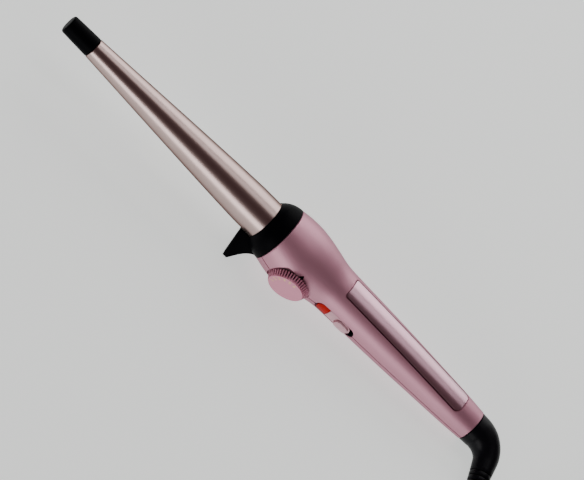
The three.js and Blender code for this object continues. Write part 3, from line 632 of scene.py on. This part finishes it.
tray = rounded_block("switch_tray_plate", 208.6, 240.6, 10.8, 9, 10, 2, 2, to_dial=True)
cut(tray, rounded_block("stem_slot", 224.5, 235, 3.4, 8, 11, 1.2, 1.2, to_dial=True))
cut(tray, rounded_block("lamp_hole", 212.6, 217.4, 4.4, 8, 11, 1, 1, to_dial=True))
end_wall = rounded_block("tray_end_wall", 230, 239.1, 8.4, 9.5, 20, 0.3, 4.1, to_dial=True)
cut(end_wall, casing_body("end_wall_top", -0.4), "INTERSECT")
cut(end_wall, rounded_block("button_room", 220, 238.25, 8.7, 8, 30, 0.3, 4.3, to_dial=True))
cut(tray, end_wall, "UNION")
round_edges(tray, 0.15)
lay_in_place(tray, on_wand)
settle(tray, black_plastic, "wand", "black_plastic", "switch_tray")

# ---- Cord boot ----------------------------------------------------------------------------------------
# Soft black PVC moulded over the swivel's neck and the cord: a smooth elbow that runs out into a tail
# with grooves all round, which lets the cord bend without a kink.
handle_end = 325.8
boot_start = handle_end + 0.3
boot_straight, boot_bend_radius, boot_bend, boot_length, boot_droop = 5, 15, math.radians(74), 70, 3


def boot_point(distance):
    """A point of the boot's middle line: straight, round a bend towards the dial's side, then straight."""
    past = distance - boot_straight
    if past < 0:
        return Vector((boot_start + distance, 0, 0)) * mm
    turn = min(past / boot_bend_radius, boot_bend)
    x = boot_start + boot_straight + boot_bend_radius * math.sin(turn)
    y = -boot_bend_radius * (1 - math.cos(turn))
    rest = max(0.0, past - boot_bend_radius * boot_bend)
    whole = boot_length - boot_straight - boot_bend_radius * boot_bend
    return Vector((x + rest * math.cos(boot_bend), y - rest * math.sin(boot_bend),
                   -boot_droop * (rest / whole) ** 2)) * mm


boot_radii = [(0, 9.9), (5, 9.75), (11, 9.2), (17, 8.3), (24, 7.3), (31, 6.6), (38, 6.1), (48, 5.4),
              (59, 4.75), (boot_length, 4.2)]


def boot_radius(distance):
    """The boot's outer radius at a distance along its middle line."""
    for (near, near_radius), (far, far_radius) in zip(boot_radii, boot_radii[1:]):
        if distance <= far:
            return near_radius + (far_radius - near_radius) * (distance - near) / (far - near)
    return boot_radii[-1][1]


first_groove, last_groove, groove_pitch, groove_width, groove_depth = 32, 66, 3.0, 1.1, 0.8
boot_profile = [(0, 4.5), (0, 9.5), (0.4, 9.88)]
distance = 2
while distance < first_groove - 1:
    boot_profile.append((distance, boot_radius(distance)))
    distance += 1
boot_groove = first_groove
while boot_groove < last_groove:
    for step, sunk in ((-0.55, 0), (-0.35, 0.12), (-0.2, 0.9), (0.2, 1), (0.35, 0.9), (0.5, 0.12), (0.7, 0)):
        place = boot_groove + groove_width * step
        boot_profile.append((place, boot_radius(place) - groove_depth * sunk))
    boot_groove += groove_pitch
boot_profile += [(68, boot_radius(68)), (69.6, 4.1), (boot_length, 3.8), (boot_length, 0.5)]
boot = turned("boot_and_strain_relief", boot_profile, sides=72)
boot_curve = bpy.data.curves.new("boot_line", "CURVE")
boot_curve.dimensions = "3D"
boot_spline = boot_curve.splines.new("POLY")
boot_steps = 140
boot_spline.points.add(boot_steps)
for step, knot in enumerate(boot_spline.points):
    knot.co = (*boot_point(step * boot_length / boot_steps), 1)
boot_line = bpy.data.objects.new("boot_line", boot_curve)
bpy.context.scene.collection.objects.link(boot_line)
apply_modifier(boot, "CURVE", object=boot_line, deform_axis="POS_X")
bpy.data.objects.remove(boot_line)
lay_in_place(boot, on_wand, sharp=40)
black_rubber = finish("black_soft_pvc", (0.005, 0.005, 0.007), (0.003, 0.003, 0.0045), 0.34, uneven=0.06,
                      grain=0.25, grain_size=0.5, Specular_IOR_Level=0.10)
settle(boot, black_rubber, "cord_set", "black_rubber", "cord_boot")

# ---- Hank tie -----------------------------------------------------------------------------------------
# A flat strap of black hook-and-loop tape that goes once round the waist of the folded cord; its free
# end is pressed down on top.
tie_thickness, tie_bend = 1.2, 6
tie_low, tie_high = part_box("cord_tie")
tie_middle = (tie_low + tie_high) / 2
tie_size = tie_high - tie_low
bpy.ops.object.select_all(action="DESELECT")
bpy.ops.mesh.primitive_cube_add(size=1, location=tie_middle, scale=tie_size)
tie = bpy.context.object
tie.name = tie.data.name = "hank_tie"
bpy.ops.object.transform_apply(location=True, rotation=True, scale=True)
edit(tie)
bpy.ops.mesh.select_mode(type="EDGE")
bpy.ops.object.mode_set(mode="OBJECT")
for edge in tie.data.edges:
    ends = [tie.data.vertices[i].co for i in edge.vertices]
    edge.select = abs(ends[0].x - ends[1].x) > 1 * mm
bpy.ops.object.mode_set(mode="EDIT")
bpy.ops.mesh.bevel(offset=tie_bend * mm, segments=12, affect="EDGES")
bpy.ops.mesh.select_all(action="DESELECT")
bpy.ops.mesh.select_mode(type="FACE")
bpy.ops.object.mode_set(mode="OBJECT")
for face in tie.data.polygons:
    face.select = abs(face.normal.x) > 0.9
bpy.ops.object.mode_set(mode="EDIT")
bpy.ops.mesh.delete(type="FACE")
bpy.ops.mesh.select_all(action="SELECT")
bpy.ops.mesh.subdivide(number_cuts=2)
bpy.ops.object.mode_set(mode="OBJECT")
apply_modifier(tie, "SOLIDIFY", thickness=tie_thickness * mm, offset=-1)
round_edges(tie, 0.3)
lay_in_place(tie, Matrix())
tape = finish("black_loop_tape", (0.022, 0.022, 0.026), (0.008, 0.008, 0.010), 0.85, uneven=0.1, grain=0.9,
              grain_size=0.35, patch_size=1.2, Sheen_Weight=0.3)
settle(tie, tape, "cord_set", "cord_tie", "cord_tie")

tab_length, tab_width, tab_thickness = 14, 22, 1.1
tie_tab = rounded_block("hank_tie_tab", 0, tab_length, tab_width, 0, tab_thickness, 1.5, 1.5)
round_edges(tie_tab, 0.3)
lay_in_place(tie_tab, Matrix.Translation((tie_low.x, tie_middle.y - 6 * mm, tie_high.z - 0.1 * mm)))
settle(tie_tab, tape, "cord_set", "cord_tie")

# ---- Plug ---------------------------------------------------------------------------------------------
# A flat two-pin mains plug: black PVC moulded round the pin carrier and the cord, with grip ribs on its
# sides and a grooved neck. The pins are nickel-plated brass with rounded ends.
plug_low, plug_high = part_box("plug_body")
plug_middle = (plug_low + plug_high) / 2
plug_height = plug_high.z - plug_low.z
plug_half = (plug_high.y - plug_low.y) / 2
bpy.ops.object.select_all(action="DESELECT")
bpy.ops.mesh.primitive_plane_add(size=1, location=(0, 0, 0), rotation=(0, math.pi / 2, 0))
plug = bpy.context.object
plug.name = plug.data.name = "plug"
plug.scale = (plug_height, 2 * plug_half, 1)
plug.location = (plug_low.x, plug_middle.y, plug_middle.z)
bpy.ops.object.transform_apply(location=True, rotation=True, scale=True)
edit(plug, "SELECT")
bpy.ops.mesh.bevel(offset=3.2 * mm, segments=6, affect="VERTICES")
bpy.ops.mesh.select_all(action="SELECT")
sections = [(0.6, 1.0, 1.0), (9, 1.0, 1.0), (13, 0.97, 1.0), (17, 0.86, 0.99), (20.5, 0.68, 0.98),
            (24, 0.50, 0.96), (30, 0.44, 0.90), (36, 0.40, 0.84), (44, 0.33, 0.74), (54, 0.24, 0.62)]
station, wide, high = 0, 0.96, 0.92
bpy.ops.transform.resize(value=(1, wide, high), center_override=(plug_low.x, plug_middle.y, plug_middle.z))
for next_station, next_wide, next_high in sections:
    bpy.ops.mesh.extrude_region_move(TRANSFORM_OT_translate={"value": ((next_station - station) * mm, 0, 0)})
    bpy.ops.transform.resize(value=(1, next_wide / wide, next_high / high),
                             center_override=(plug_low.x + next_station * mm, plug_middle.y, plug_middle.z))
    station, wide, high = next_station, next_wide, next_high
close_up()
tool_height = plug_height * 1.2
first_rib, rib_pitch, rib_radius = 3.5, 1.9, 0.55
for side in (-1, 1):
    for rib in range(5):
        rib_place = plug_low.x + (first_rib + rib_pitch * rib) * mm
        bpy.ops.object.select_all(action="DESELECT")
        bpy.ops.mesh.primitive_cylinder_add(
            vertices=20, radius=rib_radius * mm, depth=tool_height,
            location=(rib_place, plug_middle.y + side * (plug_half + 0.1 * mm), plug_middle.z))
        cut(plug, bpy.context.object)
first_ring, ring_pitch = 33, 3
for ring in range(6):
    ring_place = plug_low.x + (first_ring + ring_pitch * ring) * mm
    bpy.ops.object.select_all(action="DESELECT")
    for side in (-1, 1):
        bpy.ops.mesh.primitive_cube_add(
            size=1, location=(ring_place, plug_middle.y + side * 7.4 * mm, plug_middle.z),
            scale=(1.0 * mm, 7 * mm, tool_height))
        cut(plug, bpy.context.object)
round_edges(plug, 0.25, angle=40)
lay_in_place(plug, Matrix(), sharp=35)
settle(plug, black_rubber, "cord_set", "black_rubber", "plug_body")

nickel = finish("nickel_plating", (0.62, 0.60, 0.56), (0.55, 0.53, 0.50), 0.22, grain=0.05, grain_size=0.2,
                metallic=1.0)
for hand in ("left", "right"):
    pin_low, pin_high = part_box("plug_pin_" + hand)
    pin_middle = (pin_low + pin_high) / 2
    pin_radius = (pin_high.z - pin_low.z) / 2 / mm
    pin_length = (pin_high.x - pin_low.x) / mm
    pin_profile = [(0, 0.3), (0.15, 0.9), (0.6, 1.5), (1.3, 1.85), (2.2, pin_radius),
                   (pin_length - 9, pin_radius), (pin_length - 8.9, 1.8), (pin_length, 1.8)]
    pin = turned("pin_" + hand, pin_profile, sides=40)
    lay_in_place(pin, Matrix.Translation((pin_low.x, pin_middle.y, pin_middle.z)))
    settle(pin, nickel, "cord_set", "steel", "plug_pin_" + hand)

# ---- Mains cord ---------------------------------------------------------------------------------------
# A round two-core lead in black PVC, 6.3 mm thick. It leaves the boot, comes down to the floor, runs along
# the hank, is folded into five turns in three layers, and its last stretch comes round to the plug.
cord_radius = 3.15 * mm
hank_low, hank_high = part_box("cord_hank")
hank_middle = (hank_low + hank_high) / 2
outer_column = (hank_high.y - hank_low.y) / 2 - cord_radius
inner_column = outer_column - 2 * cord_radius
hank_run = hank_high.x - hank_low.x - 2 * (outer_column + cord_radius)
hank_waist = 6 * mm
boot_end = Vector((191.587, -52.75, 5.122)) * mm
on_floor = cord_radius + 0.05 * mm


def hank_point(quarter, column, height):
    """A point of a turn: quarters 0 and 2 are the long sides, 1 and 3 the round ends."""
    side, share = int(quarter) % 4, quarter % 1
    half_run = hank_run / 2
    if side in (0, 2):
        heading = 1 if side == 0 else -1
        x = heading * (share - 0.5) * hank_run
        waist = hank_waist * 0.5 * (1 + math.cos(2 * math.pi * x / hank_run))
        return Vector((hank_middle.x + x, hank_middle.y - heading * (column - waist), height))
    angle = math.pi * (share - 0.5) + (math.pi if side == 3 else 0)
    centre = half_run if side == 1 else -half_run
    return Vector((hank_middle.x + centre + column * math.cos(angle),
                   hank_middle.y + column * math.sin(angle), height))


def eased(share):
    """A share of 0 to 1 that starts and ends gently."""
    share = min(1.0, max(0.0, share))
    return share * share * (3 - 2 * share)


cord_route = [boot_end]
lead_points = [(193.0, -59.0, 4.3), (195.2, -66.8, 3.7), (198.4, -75.4, 3.25), (203.2, -83.2, 3.2),
               (209.6, -89.2, 3.2), (217.8, -93.1, 3.2), (227.5, -94.2, 3.2), (241, -94.2, 3.2),
               (256, -94.2, 3.2), (270, -94.2, 3.2), (280, -94.2, 3.2)]
cord_route += [Vector(point) * mm for point in lead_points]

# Each turn is (column, layer). The cord climbs a layer just before the left end, and changes its column
# round that end, so that no turn runs through its neighbour.
outside_column = 32.2 * mm
turns = [(outer_column, 0), (inner_column, 0), (inner_column, 1), (outer_column, 1), (outer_column, 2),
         (outside_column, 1)]
layer_height = 2 * cord_radius + 0.1 * mm
steps_a_quarter = {0: 4, 1: 6, 2: 4, 3: 6}
for turn, (column, layer) in enumerate(turns[:-1]):
    next_column, next_layer = turns[turn + 1]
    for quarter in range(1 if turn == 0 else 0, 4):
        for step in range(steps_a_quarter[quarter]):
            place = quarter + step / steps_a_quarter[quarter]
            here = column
            if turn == 0:
                here += (outside_column - column) * (1 - eased((place - 1) / 0.9))
            here += (next_column - column) * eased((place - 3.3) / 0.7)
            rise = (next_layer - layer) * eased((place - 2.55) / 0.7)
            if next_layer < layer:
                rise = (next_layer - layer) * eased((place - 3.2) / 0.8)
            cord_route.append(hank_point(place, here, on_floor + (layer + rise) * layer_height))
tail_points = [(228, -94.2, 9.85), (242, -94.2, 9.85), (256, -94.2, 9.85), (270, -94.2, 9.85),
               (284.5, -94.2, 9.85), (296, -92.4, 9.7), (306.6, -87, 9.4), (315, -78.4, 9),
               (320, -67.6, 8.5), (320.9, -55.6, 8), (318, -43.4, 7.6), (312, -32.6, 7.2),
               (303, -23.8, 7), (293.4, -18, 6.9), (284.6, -15.7, 6.85), (278.6, -15.4, 6.85)]
cord_route += [Vector(point) * mm for point in tail_points]

cord_line = bpy.data.curves.new("mains_cord", "CURVE")
cord_line.dimensions = "3D"
cord_line.resolution_u = 4
cord_line.bevel_depth = cord_radius
cord_line.bevel_resolution = 5
cord_line.use_fill_caps = True
spline = cord_line.splines.new("BEZIER")
spline.bezier_points.add(len(cord_route) - 1)
for knot, place in zip(spline.bezier_points, cord_route):
    knot.co = place
    knot.handle_left_type = knot.handle_right_type = "AUTO"
mains_cord = bpy.data.objects.new("mains_cord", cord_line)
bpy.context.scene.collection.objects.link(mains_cord)
cord_sheath = finish("black_cord_sheath", (0.010, 0.010, 0.012), (0.006, 0.006, 0.008), 0.40, grain=0.3,
                     grain_size=0.6)
settle(mains_cord, cord_sheath, "cord_set", "black_rubber", "cord_lead", "cord_hank", "cord_tail")

# ---- Heater, probe and their fixings ------------------------------------------------------------------
# Two extruded aluminium half cores clamp a ceramic heating element inside the barrel, with a temperature
# probe and a thermal cut-out behind it; steel screws hold the barrel in its heat-proof seat.
def dress(material, *nodes):
    """Gives CAD nodes that keep their shape a material."""
    for name in nodes:
        mesh = frame["nodes"][name].data
        mesh.materials.clear()
        mesh.materials.append(material)


aluminium = finish("drawn_aluminium", (0.70, 0.71, 0.73), (0.62, 0.63, 0.65), 0.38, metallic=1.0, grain=0.2,
                   grain_size=0.15, stretch=(0.15, 1, 1))
zinc_steel = finish("zinc_plated_steel", (0.56, 0.57, 0.60), (0.46, 0.47, 0.50), 0.32, metallic=1.0,
                    grain_size=0.2)
glass_nylon = finish("glass_filled_nylon", (0.68, 0.61, 0.48), (0.60, 0.53, 0.40), 0.6, grain=0.4,
                     grain_size=0.2, patch_size=6)
ceramic = finish("heater_ceramic", (0.055, 0.052, 0.058), (0.035, 0.033, 0.038), 0.7, grain=0.5,
                 grain_size=0.3, patch_size=4)
dress(aluminium, "heater_core_upper", "heater_core_lower")
dress(ceramic, "ptc_heater")
dress(zinc_steel, "thermistor", "thermal_fuse", "barrel_screw_upper", "barrel_screw_lower", "shell_screw_1",
      "shell_screw_2", "shell_screw_3", "potentiometer_shaft")
dress(glass_nylon, "barrel_seat", "swivel_rotor")

# ---- Circuit board and what is soldered on it ---------------------------------------------------------
# A glass-epoxy board under a green lacquer, held between the screw posts, with the dial's potentiometer,
# the slide switch, the lamp, a foil capacitor, a triac, a control chip and a fusible resistor.
board_lacquer = finish("board_lacquer", (0.02, 0.16, 0.07), (0.012, 0.11, 0.05), 0.35, grain=0.3,
                       grain_size=0.4, patch_size=3)
dark_moulding = finish("dark_component_moulding", (0.028, 0.028, 0.032), (0.018, 0.018, 0.021), 0.5,
                       grain=0.25, grain_size=0.25)
capacitor_case = finish("capacitor_case", (0.42, 0.05, 0.035), (0.33, 0.035, 0.025), 0.4, grain_size=0.3)
lamp_glass = finish("lamp_glass", (0.75, 0.08, 0.05), (0.62, 0.05, 0.03), 0.12, grain=0.02,
                    Transmission_Weight=0.4)
dress(board_lacquer, "circuit_board")
dress(dark_moulding, "potentiometer", "slide_switch", "switch_lever", "triac", "control_chip")
dress(capacitor_case, "film_capacitor")
dress(lamp_glass, "indicator_lamp")

# ---- Wires, swivel and its contacts -------------------------------------------------------------------
# Silicone-sleeved leads run to the heater and the probe. In the handle's end a nylon rotor turns in its
# socket, and two sprung brass brushes rub on two brass rings, so that the cord never twists.
red_sleeve = finish("red_silicone_sleeve", (0.40, 0.04, 0.03), (0.32, 0.03, 0.02), 0.55, grain_size=0.5)
white_sleeve = finish("white_silicone_sleeve", (0.72, 0.72, 0.69), (0.64, 0.64, 0.61), 0.55, grain_size=0.5)
brass = finish("contact_brass", (0.66, 0.46, 0.18), (0.58, 0.39, 0.14), 0.28, metallic=1.0, grain_size=0.15,
               patch_size=4)
dress(red_sleeve, "heater_lead_a", "heater_lead_b")
dress(white_sleeve, "sensor_lead", "mains_wire_neutral", "fuse_resistor")
dress(dark_moulding, "mains_wire_line")
dress(brass, "contact_ring_line", "contact_ring_neutral", "brush_line", "brush_neutral")
dress(black_plastic, "swivel_socket")
